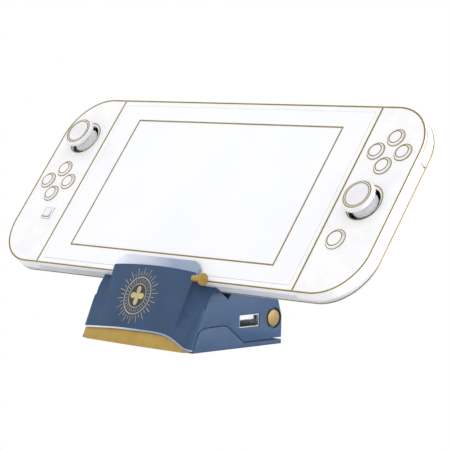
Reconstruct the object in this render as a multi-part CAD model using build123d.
"""A hybrid games console with two detachable controllers, seated in a tilting charging stand.

Millimetres. The origin is the centre of the stand's rubber foot pad, on the surface it
stands on: +X to the right as the screen is faced, +Y to the back, +Z up. The console is
drawn upright in its own frame, with its origin in the middle of the front face's bottom
edge and its screen facing -Y, and is then leaned back onto the stand.
"""
from build123d import *
from math import cos, radians, sin, tan, sqrt
import os

# ---- seat of the console in the stand
lean = 36.6                # backward lean of the console from upright, degrees
seat_y = -19.2             # the console's front bottom edge, in the stand's frame
seat_z = 32.4
seat_gap = 0.1             # between the console and what it rests on

# ---- console
tablet_w = 173.2           # between the two controllers
console_h = 101.6
console_t = 13.9
rim_t = 7.9                # straight rim, in front of the back bevel
shell_wall = 1.6
corner_r = 24.0            # outer corners of the controllers
controller_w = 32.9
part_gap = 0.1             # between a controller and the tablet
frame_t = 3.0              # depth of the tablet's front frame
glass_w, glass_h, glass_t = 166.0, 94.6, 1.2
screen_w, screen_h = 137.2, 77.2
screen_mid_z = 50.8        # middle of the screen above the bottom edge
display_t = 1.6
fit_gap = 0.15             # around what drops into a recess

# ---- slide rails between tablet and controllers
rail_y = 6.2               # middle of the rail, from the front face
rail_head = 4.4            # width of the tongue's head
rail_neck = 2.4
rail_depth = 3.2
rail_foot_z = 9.0          # lower stop of the rail above the bottom edge
rail_skin = 0.5            # sheet of the tablet's rail

# ---- buttons and sticks
button_r = 4.0
button_gap = 0.15
button_rise = 0.9          # above the face
button_spread = 7.75       # from the middle of the cluster
flange_rim = 0.75          # wider than the cap, under the shell
stick_cap_r = 8.3
stick_top = 6.4            # top of the cap above the face
stick_cap_t = 2.4
stick_pivot = 5.0          # depth of the pivot under the face
stick_well_r = 8.6
dome_r = 7.6
dome_wall = 1.2
gimbal_pin_r = 0.7
pin_play = 0.05            # radial, on every small pin
left_stick = (-101.6, 76.1)
left_buttons = (-103.8, 48.6)
capture_spot = (-97.7, 29.2)
capture_side = 6.6
right_buttons = (102.2, 76.2)
right_stick = (102.1, 48.4)
home_spot = (96.2, 28.3)
home_r = 4.6
board_y, board_t = 9.4, 0.9

# ---- shoulder buttons
shoulder_x = 97.0          # inner end of the shoulder pieces
shoulder_drop = 27.6       # lower end, on the outer edge, below the top
shoulder_t = 2.6           # thickness measured in from the edge
shoulder_travel = 0.8
lining_t = 1.1             # wall behind a shoulder piece's pocket
bumper_y = (1.9, 7.2)
trigger_y = (7.9, 12.6)

# ---- stand
stand_w = 75.0
stand_back = 28.4          # rear of the base, from the origin
base_z0, base_z1 = 0.8, 2.9
pad_half_w, pad_half_d = 31.0, 24.0
panel_top_y, panel_top_z = -20.0, 36.1
panel_low_y, panel_low_z = -32.0, 8.2
panel_left_z, panel_right_z = 6.6, 1.6     # its lower edge at the two ends
panel_t = 2.0
panel_top_half = 27.6      # half width of the panel at its top edge
panel_crown = 1.2          # rise of the top edge at the middle
panel_bow = 1.0            # forward bow of the panel across its width
front_corner_r = 5.0
liner_t = 1.4
liner_gap = 0.5            # between liner and console
liner_rise = 9.5           # top of the liner along the console's face
liner_foot = 0.6           # its lower end, above the console's bottom edge
liner_top_half = 23.6
liner_edge = 0.8           # white line under the panel
trim_z0 = 1.0
trim_t = 1.6
trim_end_r = 4.2           # round at its lower left corner
trim_inset = 0.9           # the trim's face behind the panel's
panel_wrap = 4.2           # how far the panel turns round the corners, with its bow
scoop_low_z = 2.0          # foot of the hollows at the front corners
scoop_low_in, scoop_low_r, scoop_low_deep = 9.0, 5.0, 0.5     # in from the side, radius and depth there
scoop_end_z = 46.0
scoop_across = 10.0        # their width and depth at the panel's top edge
scoop_deep = 7.4
scoop_round = 0.6          # radius as a share of the width, small for a deeper hollow
scoop_end = 4.0            # how far they reach back along the seat
wall = 2.2
back_t = 4.3               # thickness of the backrest
back_rise = 37.0           # its top along the console's back
back_corner_r = 11.0
back_bend = 21.6           # where the rear slope leaves the backrest
rear_knee = (25.2, 24.0)   # rear slope's lower end, y and z
rear_bulge = (28.4, 14.1)
body_foot_z = 3.9          # underside of the tilting body
cheek_t = 2.2
rim_h = 3.0                # rim on the base that closes the gap under the body
seam = 0.35                # between the cheeks and the body

# ---- hinge of the stand
hinge_y, hinge_z = 23.0, 13.3
hinge_r = 1.6
hinge_cap_r = 4.0
hinge_dish_r = 5.0
hinge_cap_t = 1.2
ear_r = 2.9
ear_in = (8.5, 4.5)        # the ears' faces, in from the stand's sides

# ---- connectors
plug_w, plug_t, plug_rise = 8.3, 2.5, 5.8
cradle_half = 3.0          # half depth of the plug's holder
plug_y = 5.0               # middle of the plug behind the console's front face
port_w, port_t, port_depth = 8.94, 3.26, 7.0
port_skin = 0.3
usb_y, usb_z = 6.5, 13.1
usb_w, usb_h, usb_depth = 13.1, 5.8, 13.5
inlet_z = usb_z - usb_h / 2 + port_t / 2   # power inlet in the rear wall, on the same board

# ---- gold stud at the right end of the lip
stud_r, stud_neck_r = 3.0, 1.5
stud_y, stud_z = -3.0, -0.4
stud_x = (28.0, 33.8, 35.2)  # root, underside of the head and its face

# ---- tablet edges and inside
top_edge_y = 5.6           # middle of what sits in the top edge
power_x, power_r = -70.0, 2.6
volume_x, volume_w = -52.0, 14.0
card_x, card_w, card_t = 58.0, 26.0, 1.0
jack_x, jack_r = 36.0, 1.8
vent_count, vent_pitch, vent_w = 9, 4.4, 2.6
kick_x, kick_w, kick_t = -66.0, 14.0, 1.8
kick_z0, kick_z1 = 8.0, 62.0
kick_pin_r = 0.6
fan_x, fan_z, fan_r = 8.0, 62.0, 15.0
fan_blades = 11
release_r = 3.2

half_tablet = tablet_w / 2
half_stand = stand_w / 2
ear_x = (half_stand - ear_in[0], half_stand - ear_in[1])
shoulder_z = console_h - shoulder_drop
lean_sin = sin(radians(lean))
lean_cos = cos(radians(lean))
panel_slope = (panel_top_y - panel_low_y) / (panel_top_z - panel_low_z)
leaned = Location((0, seat_y, seat_z), (-lean, 0, 0))

nodes = {}


# ---- shapes used by many pieces

def block(x0, x1, y0, y1, z0, z1):
    size = Box(x1 - x0, y1 - y0, z1 - z0)
    return Pos((x0 + x1) / 2, (y0 + y1) / 2, (z0 + z1) / 2) * size


def rod_x(r, x0, x1, y, z):
    return Pos((x0 + x1) / 2, y, z) * Rot(0, 90, 0) * Cylinder(r, abs(x1 - x0))


def rod_y(r, y0, y1, x, z):
    return Pos(x, (y0 + y1) / 2, z) * Rot(90, 0, 0) * Cylinder(r, abs(y1 - y0))


def rod_z(r, z0, z1, x, y):
    return Pos(x, y, (z0 + z1) / 2) * Cylinder(r, abs(z1 - z0))


def prism_x(points, x0, x1):
    """Extrude an outline of (y, z) points from x0 to x1."""
    face = make_face(Polyline(*points, close=True))
    return Pos(x0, 0, 0) * extrude(Plane.YZ * face, x1 - x0)


def prism_y(outline, y0, y1):
    """Extrude a flat outline, drawn as (x, z), from y0 back to y1."""
    return Pos(0, y0, 0) * extrude(Plane.XZ * outline, -(y1 - y0))


def leaned_point(y, z):
    """Stand-frame (y, z) of a point given in the console's own (y, z)."""
    return (seat_y + y * lean_cos + z * lean_sin, seat_z - y * lean_sin + z * lean_cos)


def flat_slot(width, height):
    """A rounded oblong, as a USB-C shell is."""
    return RectangleRounded(width, height, height / 2 - 0.01)


def place(name, shape):
    nodes[name] = shape


def place_console(name, shape):
    nodes[name] = leaned * shape


# ---- stand: outer form

def front_y(z):
    """The front panel's outer face at its middle, at height z."""
    return panel_top_y - (panel_top_z - z) * panel_slope


def plan(inset):
    """Horizontal section of the stand, its bowed front edge through the origin."""
    half = half_stand - inset
    arc = ThreePointArc((-half, panel_bow + inset), (0, inset), (half, panel_bow + inset))
    rest = Polyline((half, panel_bow + inset), (half, 90), (-half, 90), (-half, panel_bow + inset))
    face = make_face(arc + rest)
    corners = face.vertices().sort_by(Axis.Y)[:2]
    return fillet(corners, front_corner_r - inset)


def leaning_mass(inset):
    """The stand's form with a sloped, bowed front, set in by inset; open towards the back."""
    low, high = 0.0, 60.0
    bottom = Pos(0, front_y(low), low) * plan(inset)
    top = Pos(0, front_y(high), high) * plan(inset)
    return loft([bottom, top])


def scoop(side, grow=0.0):
    """Cone that hollows the corner between the front panel and one side of the stand."""
    across, deep = scoop_across, scoop_deep
    chord = sqrt(across ** 2 + deep ** 2)
    radius = scoop_round * chord
    out = sqrt(radius ** 2 - chord ** 2 / 4)
    x = half_stand + 0.1 - across / 2 + out * deep / chord
    y = front_y(panel_top_z) + panel_bow * 0.6 + deep / 2 - out * across / chord
    low_x = half_stand - scoop_low_in
    low_y = front_y(scoop_low_z) + panel_bow * 0.6 - scoop_low_r + scoop_low_deep
    far = (scoop_end_z - scoop_low_z) / (panel_top_z - scoop_low_z)
    x = low_x + (x - low_x) * far
    y = low_y + (y - low_y) * far
    radius = scoop_low_r + (radius - scoop_low_r) * far
    rings = [
        Pos(side * low_x, low_y, scoop_low_z) * Circle(scoop_low_r + grow),
        Pos(side * x, y, scoop_end_z) * Circle(radius + grow),
    ]
    ahead = leaned * block(-60, 60, -80, scoop_end + grow, -60, 90)
    return loft(rings) & ahead


def side_outline():
    """Outline of the tilting body seen from the side, as (y, z) points."""
    seat = -seat_gap
    back = console_t + seat_gap
    rear = back + back_t
    return [
        (-40, body_foot_z),
        (-40, 60),
        leaned_point(-liner_gap, 60),
        leaned_point(-liner_gap, seat),
        leaned_point(back, seat),
        leaned_point(back, back_rise),
        leaned_point(rear, back_rise),
        leaned_point(rear, back_bend),
        rear_knee,
        rear_bulge,
        (stand_back, body_foot_z),
    ]


def cavity():
    """Room inside the tilting body, open downwards."""
    back = console_t + seat_gap + wall
    rear = console_t + seat_gap + back_t - wall
    points = [
        (front_y(body_foot_z) + panel_t + wall, body_foot_z - 3),
        (front_y(26) + panel_t + wall, 26),
        leaned_point(2.5, -seat_gap - wall - 0.6),
        leaned_point(console_t - 0.5, -seat_gap - wall - 0.6),
        leaned_point(back - 0.2, back_bend - 8),
        leaned_point(rear, back_bend - 3),
        (rear_knee[0] - wall, rear_knee[1] - wall / 2),
        (rear_bulge[0] - wall, rear_bulge[1]),
        (rear_bulge[0] - wall, body_foot_z - 3),
    ]
    inner = half_stand - wall
    return prism_x(points, -inner, inner)


def cheek_outline(grow):
    """The base's raised cheek, as (y, z) points; grow widens it by the seam."""
    g = grow
    return [
        (-40, 0), (-40, 6.8 + g), (-27.6 - g, 7.2 + g), (-26.9 - g, 9.2 + g), (-25.4, 10.8 + g), (-22.6, 11.6 + g),
        (-10.8, 11.9 + g), (-8.6, 11.5 + g), (-7.0 + g * 0.4, 10.5 + g), (2.6 + g * 0.6, 3.2 + g), (2.6 + g, 0),
    ]


def panel_edges():
    """What the front panel is cut to: a crowned top, and a lower edge that falls away at the right."""
    top = panel_top_half
    low = half_stand + 2
    crest = ThreePointArc((-top, 0), (0, panel_crown), (top, 0))
    base = -panel_top_z
    sides = Polyline((top, 0), (low, -20), (low, base + panel_right_z))
    droop = Spline((low, base + panel_right_z), (low - 8.5, base + 4.6), (low - 15.5, base + 7.2),
                   (8, base + panel_low_z + 0.4),
                   (-14, base + panel_low_z), (-low, base + panel_left_z))
    other = Polyline((-low, base + panel_left_z), (-low, -20), (-top, 0))
    face = make_face(crest + sides + droop + other)
    corners = [v for v in face.vertices() if v.Y > -1]
    return Pos(0, panel_top_z) * fillet(corners, 3.0)


def front_zone(extra):
    """Leaning slab that takes in the front panel and its turn round the corners."""
    deep = panel_wrap + extra
    outline = [(front_y(0) - 2, 0), (front_y(60) - 2, 60), (front_y(60) + deep, 60), (front_y(0) + deep, 0)]
    return prism_x(outline, -half_stand - 1, half_stand + 1)


def front_window(drop):
    """The panel's outline as a deep prism, lowered by drop."""
    return Pos(0, 0, -drop) * prism_y(panel_edges(), -60, 0)


def liner_outline():
    half = liner_top_half
    face = make_face(Polyline((-32, liner_foot), (-32, 2), (-half, liner_rise), (half, liner_rise),
                              (32, 2), (32, liner_foot), close=True))
    corners = face.vertices().sort_by(Axis.Y)[-2:]
    return fillet(corners, 3.2)


def build_front():
    scoops = scoop(1) + scoop(-1)
    liner = leaned * prism_y(liner_outline(), -liner_gap - liner_t, -liner_gap)
    behind = leaned * block(-60, 60, -liner_gap - liner_t, 60, liner_foot, 90)
    behind = behind + leaned * block(-60, 60, -liner_gap, 60, -seat_gap, 90)
    layer = ((leaning_mass(0) - leaning_mass(panel_t)) & front_zone(0)) - scoops
    panel = (layer & front_window(0)) - behind
    line = (layer & front_window(liner_edge)) - front_window(0)
    line = line & block(-60, 60, -60, 60, 0, panel_low_z + 1)
    trim_low = block(-60, 60, -60, 60, trim_z0, panel_low_z + 1)
    trim = leaning_mass(trim_inset) - leaning_mass(trim_inset + trim_t)
    trim = (trim & front_zone(-0.4) & trim_low) - front_window(liner_edge + 0.1)
    rounded = Pos(1.9, trim_z0 + 6) * RectangleRounded(stand_w, 12, trim_end_r)
    trim = trim & prism_y(rounded, -60, 60)
    studs = lip_stud()
    place("front_panel", panel - studs)
    place("lip_liner", (liner - scoops - studs) + line)
    place("gold_front_trim", trim)


def build_body():
    side = prism_x(side_outline(), -half_stand, half_stand)
    form = leaning_mass(panel_t) + (leaning_mass(0) - front_zone(0))
    body = (side & form) - scoop(1) - scoop(-1)
    above = leaned * block(-60, 60, -60, -liner_gap, -seat_gap + 3.0, 90)
    body = body - above
    liner_room = leaned * block(-33, 33, -liner_gap - liner_t, -liner_gap, liner_foot, 60)
    body = body - liner_room
    arch = leaned * prism_y(backrest_room(), console_t - 1, 60)
    body = body - arch
    body = body - (cavity() - scoop(1, wall) - scoop(-1, wall))
    body = body - prism_x(cheek_outline(seam), -half_stand - 1, half_stand + 1)
    trim_room = leaning_mass(0) - leaning_mass(trim_inset + trim_t + 0.05)
    body = body - (trim_room & front_zone(0) & block(-60, 60, -60, 60, 0, panel_low_z + 1.2))
    body = body - leaned * block(-plug_w, plug_w, plug_y - cradle_half, plug_y + cradle_half, -8, 1)
    for x in (-1, 1):
        body = body - rod_x(hinge_dish_r, x * (half_stand - hinge_cap_t - 0.1), x * (half_stand + 1),
                            hinge_y, hinge_z)
        body = body - rod_x(hinge_r + pin_play, x * (half_stand - 9), x * (half_stand + 1), hinge_y, hinge_z)
    body = body - block(half_stand - 5, half_stand + 1, usb_y - usb_w / 2 - fit_gap, usb_y + usb_w / 2 + fit_gap,
                        usb_z - usb_h / 2 - fit_gap, usb_z + usb_h / 2 + fit_gap)
    inlet = Pos(0, stand_back + 2, inlet_z) * extrude(Plane.XZ * flat_slot(port_w, port_t), 6)
    body = body - inlet - lip_stud()
    place("stand_body", body.solids().sort_by(SortBy.VOLUME)[-1])


def backrest_room():
    """What is cut away round the top of the backrest, drawn across its face."""
    outer = Pos(0, 60) * Rectangle(120, 80)
    half = half_stand
    shape = Pos(0, back_rise / 2) * Rectangle(2 * half, back_rise)
    corners = shape.vertices().sort_by(Axis.Y)[-2:]
    return outer - fillet(corners, back_corner_r)


def build_base():
    inside_trim = leaning_mass(trim_inset + trim_t)
    behind_panel = leaning_mass(0) - front_zone(seam)
    base = (inside_trim + behind_panel) & block(-60, 60, -60, stand_back, base_z0, base_z1)
    cheeks = behind_panel & prism_x(cheek_outline(0), -half_stand, half_stand)
    cheeks = cheeks & block(-60, 60, -60, stand_back, base_z0, 30)
    cheeks = cheeks - block(-half_stand + cheek_t, half_stand - cheek_t, -60, 60, base_z1, 30)
    base = base + cheeks + light_rim()
    for x in (-1, 1):
        base = base + hinge_ear(x)
    place("stand_base", base)
    place("base_pad", extrude(RectangleRounded(2 * pad_half_w, 2 * pad_half_d, 6), base_z0))
    pins = Part()
    for x in (-1, 1):
        cap = rod_x(hinge_cap_r, x * (half_stand - hinge_cap_t), x * half_stand, hinge_y, hinge_z)
        shaft = rod_x(hinge_r, x * ear_x[0], x * (half_stand - hinge_cap_t), hinge_y, hinge_z)
        pins = pins + (cap + shaft)
    place("hinge_pins", pins)


def light_rim():
    """Low rim on the base, inside the body's walls, that closes the gap under them."""
    half = half_stand - wall - 0.5
    rear = rear_bulge[0] - wall - 1.4
    rim = block(-half, half, 3, rear, base_z1 - 0.5, base_z1 + rim_h)
    return rim - block(-half + 0.8, half - 0.8, 0, rear - 0.8, base_z1 - 1, base_z1 + rim_h + 1)


def hinge_ear(side):
    """Ear that stands on the base plate inside the body and holds one hinge pin."""
    x0, x1 = sorted((side * ear_x[0], side * ear_x[1]))
    foot = prism_x([(hinge_y - 9, base_z1 - 0.5), (hinge_y + 0.3, base_z1 - 0.5),
                    (hinge_y + ear_r * 0.95, hinge_z), (hinge_y - ear_r, hinge_z)], x0, x1)
    head = rod_x(ear_r, x0, x1, hinge_y, hinge_z)
    bore = rod_x(hinge_r, x0 - 1, x1 + 1, hinge_y, hinge_z)
    return foot + head - bore


# ---- console: tablet between the controllers

def bevelled(outline, y0, y1, bevel, keep):
    """Prism from y0 back to y1 whose rear edges, those that keep() picks, are bevelled."""
    solid = prism_y(outline, y0, y1)
    rear = [e for e in solid.edges() if abs(e.center().Y - y1) < 1e-3 and keep(e)]
    return chamfer(rear, bevel)


def tablet_tray(inset, y0, y1):
    outline = Pos(0, console_h / 2) * Rectangle(tablet_w - 2 * inset, console_h - 2 * inset)
    bevel = console_t - rim_t - 0.3
    level = lambda edge: edge.length > console_h
    return bevelled(outline, y0, y1, bevel, level)


def rail_room(side, wide, deep, low):
    """Box-shaped room for a slide rail in the side of the tablet, open at the top."""
    x0, x1 = sorted((side * (half_tablet + 1), side * (half_tablet - deep)))
    return block(x0, x1, rail_y - wide / 2, rail_y + wide / 2, low, console_h + 1)


def build_tablet_shells():
    frame = Pos(0, console_h / 2) * Rectangle(tablet_w, console_h)
    front = prism_y(frame, 0, frame_t)
    glass_seat = Pos(0, screen_mid_z) * Rectangle(glass_w + 2 * fit_gap, glass_h + 2 * fit_gap)
    window = Pos(0, screen_mid_z) * Rectangle(screen_w + 2, screen_h + 2)
    front = front - prism_y(glass_seat, -1, glass_t) - prism_y(window, 0, frame_t + 1)
    back = tablet_tray(0, frame_t, console_t) - tablet_tray(shell_wall, frame_t - 1, console_t - shell_wall)
    for side in (-1, 1):
        x0, x1 = sorted((side * half_tablet, side * (half_tablet - rail_depth - 1.6)))
        lining = block(x0, x1, frame_t, 10.4, shell_wall / 2, console_h)
        back = back + (lining & tablet_tray(0, frame_t, console_t))
        room = rail_room(side, rail_head + 2 * rail_skin + 2 * fit_gap, rail_depth + rail_skin, rail_foot_z - 2)
        back = back - room
        front = front - room
    back = back - block(-port_w / 2 - port_skin, port_w / 2 + port_skin, plug_y - port_t / 2 - port_skin,
                        plug_y + port_t / 2 + port_skin, -1, shell_wall + 1)
    for k in range(vent_count):
        x = (k - (vent_count - 1) / 2) * vent_pitch
        back = back - block(x - vent_w / 2, x + vent_w / 2, 4.2, 7.0, console_h - 4, console_h + 1)
    back = back - rod_z(power_r + fit_gap, console_h - 3, console_h + 1, power_x, top_edge_y)
    back = back - block(volume_x - volume_w / 2 - fit_gap, volume_x + volume_w / 2 + fit_gap,
                        top_edge_y - 1.2 - fit_gap, top_edge_y + 1.2 + fit_gap, console_h - 3, console_h + 1)
    back = back - block(card_x - card_w / 2 - fit_gap, card_x + card_w / 2 + fit_gap,
                        top_edge_y - 1.7 - fit_gap, top_edge_y + 1.7 + fit_gap, console_h - 3, console_h + 1)
    back = back - rod_z(jack_r, console_h - 3, console_h + 1, jack_x, top_edge_y)
    back = back + (kickstand_plate(1.2) & tablet_tray(0, frame_t, console_t))
    stand_pocket = kickstand_plate(fit_gap) + kickstand_bore()
    place_console("tablet_front_frame", front)
    place_console("tablet_back_shell", back - stand_pocket)


def kickstand_plate(grow):
    return block(kick_x - kick_w / 2 - grow, kick_x + kick_w / 2 + grow, console_t - kick_t - grow,
                 console_t + (1 if grow else 0), kick_z0 - grow, kick_z1 + grow)


def kickstand_bore():
    pin_y = console_t - kick_t / 2
    return rod_x(kick_pin_r + pin_play, kick_x - kick_w / 2 - 1.5, kick_x + kick_w / 2 + 1.5, pin_y, kick_z1 - kick_t / 2)


def build_tablet_inside():
    glass = Pos(0, screen_mid_z) * Rectangle(glass_w, glass_h)
    place_console("screen_glass", prism_y(glass, 0, glass_t))
    lit = Pos(0, screen_mid_z) * Rectangle(screen_w, screen_h)
    place_console("display_panel", prism_y(lit, glass_t, glass_t + display_t))
    board = block(-30, 76, 8.6, 9.6, 8, 92) - rod_y(fan_r + 1.5, 8, 10, fan_x, fan_z)
    place_console("main_board", board)
    place_console("battery", block(-76, -33, 5.6, 10.4, 38, 92))
    housing = rod_y(fan_r + 1.2, 5.0, 8.4, fan_x, fan_z) - rod_y(fan_r + 0.4, 5.6, 9, fan_x, fan_z)
    axle = rod_y(1.0, 5.3, 8.2, fan_x, fan_z)
    outlet = block(fan_x - 12, fan_x + 12, 5.0, 8.4, fan_z + fan_r + 2.0, console_h - 5.4)
    place_console("fan_housing", housing + axle + outlet)
    hub = rod_y(3.6, 6.0, 8.0, fan_x, fan_z)
    rotor = hub
    for k in range(fan_blades):
        turn = Pos(fan_x, 0, fan_z) * Rot(0, 360 / fan_blades * k, 0) * Pos(-fan_x, 0, -fan_z)
        blade = block(fan_x - 0.35, fan_x + 0.35, 6.0, 8.0, fan_z + 3, fan_z + fan_r)
        rotor = rotor + turn * blade
    place_console("fan_rotor", rotor - rod_y(1.0 + pin_play, 5, 9, fan_x, fan_z))
    speakers = Part()
    for x in (-1, 1):
        x0, x1 = sorted((x * 60, x * 76))
        speakers = speakers + block(x0, x1, 5.0, 8.2, 5, 14)
    place_console("speakers", speakers)


def build_tablet_edges():
    port = Pos(0, plug_y, 0) * extrude(flat_slot(port_w + 2 * port_skin, port_t + 2 * port_skin), port_depth)
    hollow = Pos(0, plug_y, -1) * extrude(flat_slot(port_w, port_t), port_depth)
    place_console("usb_c_port", port - hollow)
    rails = Part()
    for side in (-1, 1):
        rails = rails + tablet_rail(side)
    place_console("tablet_rails", rails)
    power = rod_z(power_r, console_h - 2.4, console_h + 0.5, power_x, top_edge_y)
    power = power + block(power_x - power_r - 1, power_x + power_r + 1, top_edge_y - 1, top_edge_y + 1,
                          console_h - 3.1, console_h - 2.3)
    place_console("power_button", power)
    rocker = block(volume_x - volume_w / 2, volume_x + volume_w / 2, top_edge_y - 1.2, top_edge_y + 1.2,
                   console_h - 2.4, console_h + 0.5)
    place_console("volume_rocker", rocker)
    cover = block(card_x - card_w / 2, card_x + card_w / 2, top_edge_y - 1.7, top_edge_y + 1.7,
                  console_h - card_t, console_h)
    hinge_end = [e for e in cover.edges().filter_by(Axis.Y) if e.center().X > card_x]
    place_console("card_cover", fillet(hinge_end, card_t / 2 - 0.02))
    leg = kickstand_plate(0) + rod_x(kick_pin_r, kick_x - kick_w / 2 - 1.3, kick_x + kick_w / 2 + 1.3,
                                     console_t - kick_t / 2, kick_z1 - kick_t / 2)
    round_top = [e for e in leg.edges().filter_by(Axis.X) if abs(e.center().Z - kick_z1) < 0.01]
    place_console("kickstand", fillet(round_top, kick_t / 2 - 0.05))


def tablet_rail(side):
    """C-section sheet rail, open towards the controller and at the top."""
    high = rail_head + 2 * rail_skin
    x_in = half_tablet - rail_depth
    sheet = block(x_in - rail_skin, half_tablet, rail_y - high / 2, rail_y + high / 2,
                  rail_foot_z - 1, console_h - 0.4)
    room = block(x_in, half_tablet - rail_skin, rail_y - rail_head / 2, rail_y + rail_head / 2,
                 rail_foot_z, console_h + 1)
    mouth = block(x_in, half_tablet + 1, rail_y - rail_neck / 2 - 0.2, rail_y + rail_neck / 2 + 0.2,
                  rail_foot_z, console_h + 1)
    rail = sheet - room - mouth
    return rail if side > 0 else mirror(rail, Plane.YZ)


# ---- controllers

def controller_outline(side, inset):
    """Front view of a controller, its outer corners rounded; inset leaves the inner edge less a wall."""
    x_in = half_tablet + part_gap + inset
    x_out = half_tablet + controller_w - inset
    low, high = inset, console_h - inset
    r = corner_r - inset
    face = make_face(Polyline((x_in, low), (x_out, low), (x_out, high), (x_in, high), close=True))
    corners = face.vertices().sort_by(Axis.X)[-2:]
    face = fillet(corners, r)
    return face if side > 0 else mirror(face, Plane.YZ)


def controller_solid(side, inset, y0, y1):
    inner_x = half_tablet + part_gap + inset + 0.2
    keep = lambda edge: abs(edge.center().X) > inner_x
    return bevelled(controller_outline(side, inset), y0, y1, console_t - rim_t - 0.3, keep)


def rail_tongue(side):
    """T-section tongue that slides in the tablet's rail, with the foot that it stands on."""
    x_root = half_tablet + part_gap
    x_tip = half_tablet - rail_depth + fit_gap
    low = rail_foot_z + fit_gap
    high = console_h - 2.0
    head = block(x_tip, x_tip + 1.0, rail_y - rail_head / 2 + fit_gap, rail_y + rail_head / 2 - fit_gap, low, high)
    neck = block(x_tip + 0.5, x_root + shell_wall, rail_y - rail_neck / 2, rail_y + rail_neck / 2, low, high)
    base = block(x_root + shell_wall, x_root + shell_wall + 0.8, rail_y - 2.6, rail_y + 1.8, low, high - 3.0)
    tongue = head + neck + base
    return tongue if side > 0 else mirror(tongue, Plane.YZ)


def cap_hole(spot, r, wall_y):
    return rod_y(r + button_gap, -1, wall_y + 0.5, spot[0], spot[1])


def cluster_spots(middle):
    x, z = middle
    return {
        "top": (x, z + button_spread), "bottom": (x, z - button_spread),
        "left": (x - button_spread, z), "right": (x + button_spread, z),
    }


def shoulder_area(grow, drop):
    """Corner of the front view that a shoulder piece takes up."""
    wide = half_tablet + controller_w + 10 - shoulder_x
    high = console_h + 20 - shoulder_z
    return Pos(shoulder_x + wide / 2 - grow, shoulder_z + high / 2 - grow - drop) * Rectangle(wide, high)


def shoulder_ring(side, ys):
    """Shoulder piece: a band of the controller's edge round its outer top corner."""
    band = (controller_outline(1, 0) - controller_outline(1, shoulder_t)) & shoulder_area(0, 0)
    ring = prism_y(band, ys[0], ys[1])
    return ring if side > 0 else mirror(ring, Plane.YZ)


def shoulder_cut(side, ys):
    """Room for a shoulder piece and its travel."""
    inner = controller_outline(1, shoulder_t + fit_gap + shoulder_travel)
    band = (controller_outline(1, -3) - inner) & shoulder_area(fit_gap, shoulder_travel)
    room = prism_y(band, ys[0] - fit_gap, ys[1] + fit_gap)
    return room if side > 0 else mirror(room, Plane.YZ)


def build_controller(name, side, stick, cluster, small, small_name):
    split_y = 5.6
    wide = side * (half_tablet + controller_w / 2)
    shell = controller_solid(side, 0, 0, console_t)
    hollow = controller_solid(side, shell_wall, shell_wall, console_t - shell_wall)
    full = shell - hollow
    for ys in (bumper_y, trigger_y):
        full = full + (shell & pocket_lining(side, ys))
    for ys in (bumper_y, trigger_y):
        full = full - shoulder_cut(side, ys)
    slit = rail_slit(side)
    full = full - slit
    front = full & block(wide - 60, wide + 60, -1, split_y, -1, console_h + 1)
    back = full & block(wide - 60, wide + 60, split_y, console_t + 1, -1, console_h + 1)
    spots = cluster_spots(cluster)
    for spot in spots.values():
        front = front - cap_hole(spot, button_r, shell_wall)
    front = front - rod_y(stick_well_r, -1, shell_wall + 0.5, stick[0], stick[1])
    if small_name == "home_button":
        front = front - cap_hole(small, home_r, shell_wall)
    else:
        half = capture_side / 2 + button_gap
        front = front - block(small[0] - half, small[0] + half, -1, shell_wall + 0.5,
                              small[1] - half, small[1] + half)
    release = (side * (half_tablet + 9.0), 90.0)
    back = back - rod_y(release_r + button_gap, console_t - 3, console_t + 1, release[0], release[1])
    place_console(f"{name}_front_shell", front)
    place_console(f"{name}_back_shell", back)
    place_console(f"{name}_rail", rail_tongue(side))
    build_stick(name, stick)
    for where, spot in spots.items():
        place_console(f"{name}_button_{where}", face_button(spot, button_r))
    place_console(f"{name}_{small_name}", small_button(small, small_name))
    place_console(f"{name}_bumper", shoulder_ring(side, bumper_y))
    place_console(f"{name}_trigger", shoulder_ring(side, trigger_y) & shell)
    place_console(f"{name}_release_button", release_button(release))
    build_controller_inside(name, side, stick)


def pocket_lining(side, ys):
    """Wall that closes the shell behind a shoulder piece's pocket."""
    inner = controller_outline(1, shoulder_t + fit_gap + shoulder_travel + lining_t)
    band = (controller_outline(1, 0) - inner) & shoulder_area(lining_t, shoulder_travel + lining_t)
    band = prism_y(band, ys[0] - lining_t, ys[1] + lining_t)
    return band if side > 0 else mirror(band, Plane.YZ)


def rail_slit(side):
    """Slit in the controller's inner wall that the tongue's neck stands in."""
    x0, x1 = sorted((side * (half_tablet - 1), side * (half_tablet + part_gap + shell_wall + 0.01)))
    return block(x0, x1, rail_y - rail_neck / 2, rail_y + rail_neck / 2, rail_foot_z + fit_gap, console_h - 2.0)


def face_button(spot, r):
    x, z = spot
    cap = rod_y(r, -button_rise, shell_wall + 0.3, x, z)
    rim = [e for e in cap.edges() if abs(e.center().Y + button_rise) < 0.01]
    cap = fillet(rim, 0.5)
    flange = rod_y(r + flange_rim, shell_wall + 0.1, shell_wall + 0.9, x, z)
    stem = rod_y(1.4, shell_wall + 0.8, board_y - 0.9, x, z)
    return cap + flange + stem


def small_button(spot, kind):
    x, z = spot
    if kind == "home_button":
        return face_button(spot, home_r)
    half = capture_side / 2
    cap = block(x - half, x + half, -0.7, shell_wall + 0.3, z - half, z + half)
    cap = fillet(cap.edges().filter_by(Axis.Y), 1.0)
    rim = half + flange_rim
    flange = block(x - rim, x + rim, shell_wall + 0.1, shell_wall + 0.9, z - rim, z + rim)
    return cap + flange + rod_y(1.4, shell_wall + 0.8, board_y - 0.9, x, z)


def release_button(spot):
    x, z = spot
    cap = rod_y(release_r, console_t - 1.7, console_t + 0.6, x, z)
    return cap + rod_y(release_r + 0.7, console_t - shell_wall - 0.8, console_t - shell_wall - 0.1, x, z)


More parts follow.
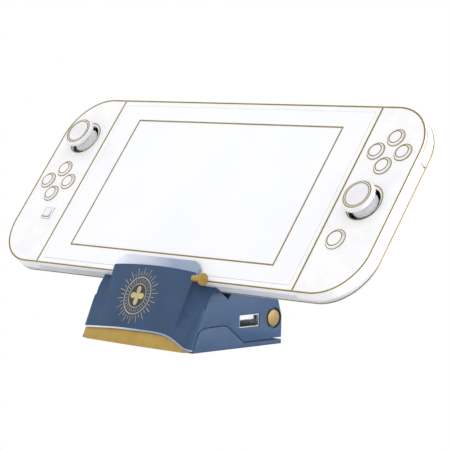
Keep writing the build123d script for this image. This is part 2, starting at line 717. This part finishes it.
def build_stick(name, spot):
    x, z = spot
    y = stick_pivot
    cap = rod_y(stick_cap_r, -stick_top, -stick_top + stick_cap_t, x, z)
    rims = [e for e in cap.edges() if e.length > 2 * stick_cap_r]
    cap = fillet(rims, 1.1)
    dish = Pos(x, -stick_top - 24.3, z) * Sphere(25.0)
    shaft = rod_y(2.6, -stick_top + 1.2, -1.5, x, z)
    ball = Pos(x, y, z) * (Sphere(dome_r) - Sphere(dome_r - dome_wall))
    dome = ball & block(x - 9, x + 9, -5, y - 3.6, z - 9, z + 9)
    pin = rod_y(1.5, -1.8, y + 1.0, x, z)
    cross = rod_z(gimbal_pin_r, z - 4.2, z + 4.2, x, y)
    place_console(f"{name}_stick", (cap - dish) + shaft + dome + pin + cross)
    ring = rod_y(4.6, y - 1.2, y + 1.2, x, z) - rod_y(3.0, y - 2, y + 2, x, z)
    ring = ring + rod_x(gimbal_pin_r, x - 7.2, x - 4.0, y, z) + rod_x(gimbal_pin_r, x + 4.0, x + 7.2, y, z)
    ring = ring - rod_z(gimbal_pin_r + pin_play, z - 5, z + 5, x, y)
    place_console(f"{name}_gimbal", ring)
    posts = block(x - 7.7, x + 7.7, y + 2.8, y + 3.8, z - 7.7, z + 7.7)
    for s in (-1, 1):
        x0, x1 = sorted((x + s * 6.3, x + s * 7.7))
        posts = posts + block(x0, x1, y - 1.0, y + 3.0, z - 1.8, z + 1.8)
    posts = posts - rod_x(gimbal_pin_r + pin_play, x - 9, x + 9, y, z)
    place_console(f"{name}_stick_housing", posts)


def build_controller_inside(name, side, stick):
    x0, x1 = sorted((side * (half_tablet + 3.6), side * (half_tablet + controller_w - 8.5)))
    board = block(x0, x1, board_y, board_y + board_t, 10.0, 90.0)
    hollow = controller_solid(side, shell_wall + 0.1, shell_wall, console_t - shell_wall - 0.1)
    place_console(f"{name}_board", board & hollow)
    cell = block(x0 + 2, x1 - 2, board_y + board_t, console_t - shell_wall - 0.1, 40.0, 68.0)
    place_console(f"{name}_battery", cell)


# ---- what the stand holds inside

def build_stand_inside():
    plug = flat_slot(plug_w, plug_t)
    holder = leaned * block(-plug_w, plug_w, plug_y - cradle_half, plug_y + cradle_half, -7.5, -seat_gap - 0.6)
    plug_room = leaned * Pos(0, plug_y, -7.0) * extrude(plug, 14)
    place("connector_cradle", holder - plug_room)
    place_console("usb_c_plug", Pos(0, plug_y, -7.0) * extrude(plug, 7.0 + plug_rise))
    shell = block(half_stand - usb_depth - 0.4, half_stand - 0.4, usb_y - usb_w / 2, usb_y + usb_w / 2,
                  usb_z - usb_h / 2, usb_z + usb_h / 2)
    room = block(half_stand - usb_depth + 0.4, half_stand, usb_y - usb_w / 2 + 0.35, usb_y + usb_w / 2 - 0.35,
                 usb_z - usb_h / 2 + 0.35, usb_z + usb_h / 2 - 0.35)
    tongue = block(half_stand - usb_depth + 0.4, half_stand - 2.4, usb_y - usb_w / 2 + 1.0, usb_y + usb_w / 2 - 1.0,
                   usb_z + 0.4, usb_z + 2.2)
    place("usb_a_port", (shell - room) + tongue)
    board_top = usb_z - usb_h / 2
    inlet = Pos(0, stand_back - 0.3, inlet_z) * extrude(Plane.XZ * flat_slot(port_w - 0.1, port_t - 0.1), 7.0)
    hollow = Pos(0, stand_back, inlet_z) * extrude(Plane.XZ * flat_slot(port_w - 0.7, port_t - 0.7), 6.6)
    board_half = ear_x[0] - 2
    board = block(-board_half, board_half, -16, 20, board_top - 1.6, board_top)
    place("stand_board", board + (inlet - hollow))
    place("ballast", block(-ear_x[0] + 3, ear_x[0] - 3, -22, 12, base_z1, base_z1 + 4.2))
    place("lip_stud", lip_stud())


def lip_stud():
    y, z = leaned_point(stud_y, stud_z)
    head = rod_x(stud_r, stud_x[1], stud_x[2], y, z)
    face_rim = [e for e in head.edges() if abs(e.center().X - stud_x[2]) < 0.01]
    return fillet(face_rim, 0.6) + rod_x(stud_neck_r, stud_x[0], stud_x[1] + 0.1, y, z)


build_front()
build_body()
build_base()
build_stand_inside()
build_tablet_shells()
build_tablet_inside()
build_tablet_edges()
build_controller("left", -1, left_stick, left_buttons, capture_spot, "capture_button")
build_controller("right", 1, right_stick, right_buttons, home_spot, "home_button")

os.makedirs("parts", exist_ok=True)
for name, shape in nodes.items():
    export_step(shape, f"parts/{name}.step")
print(len(nodes), "nodes")
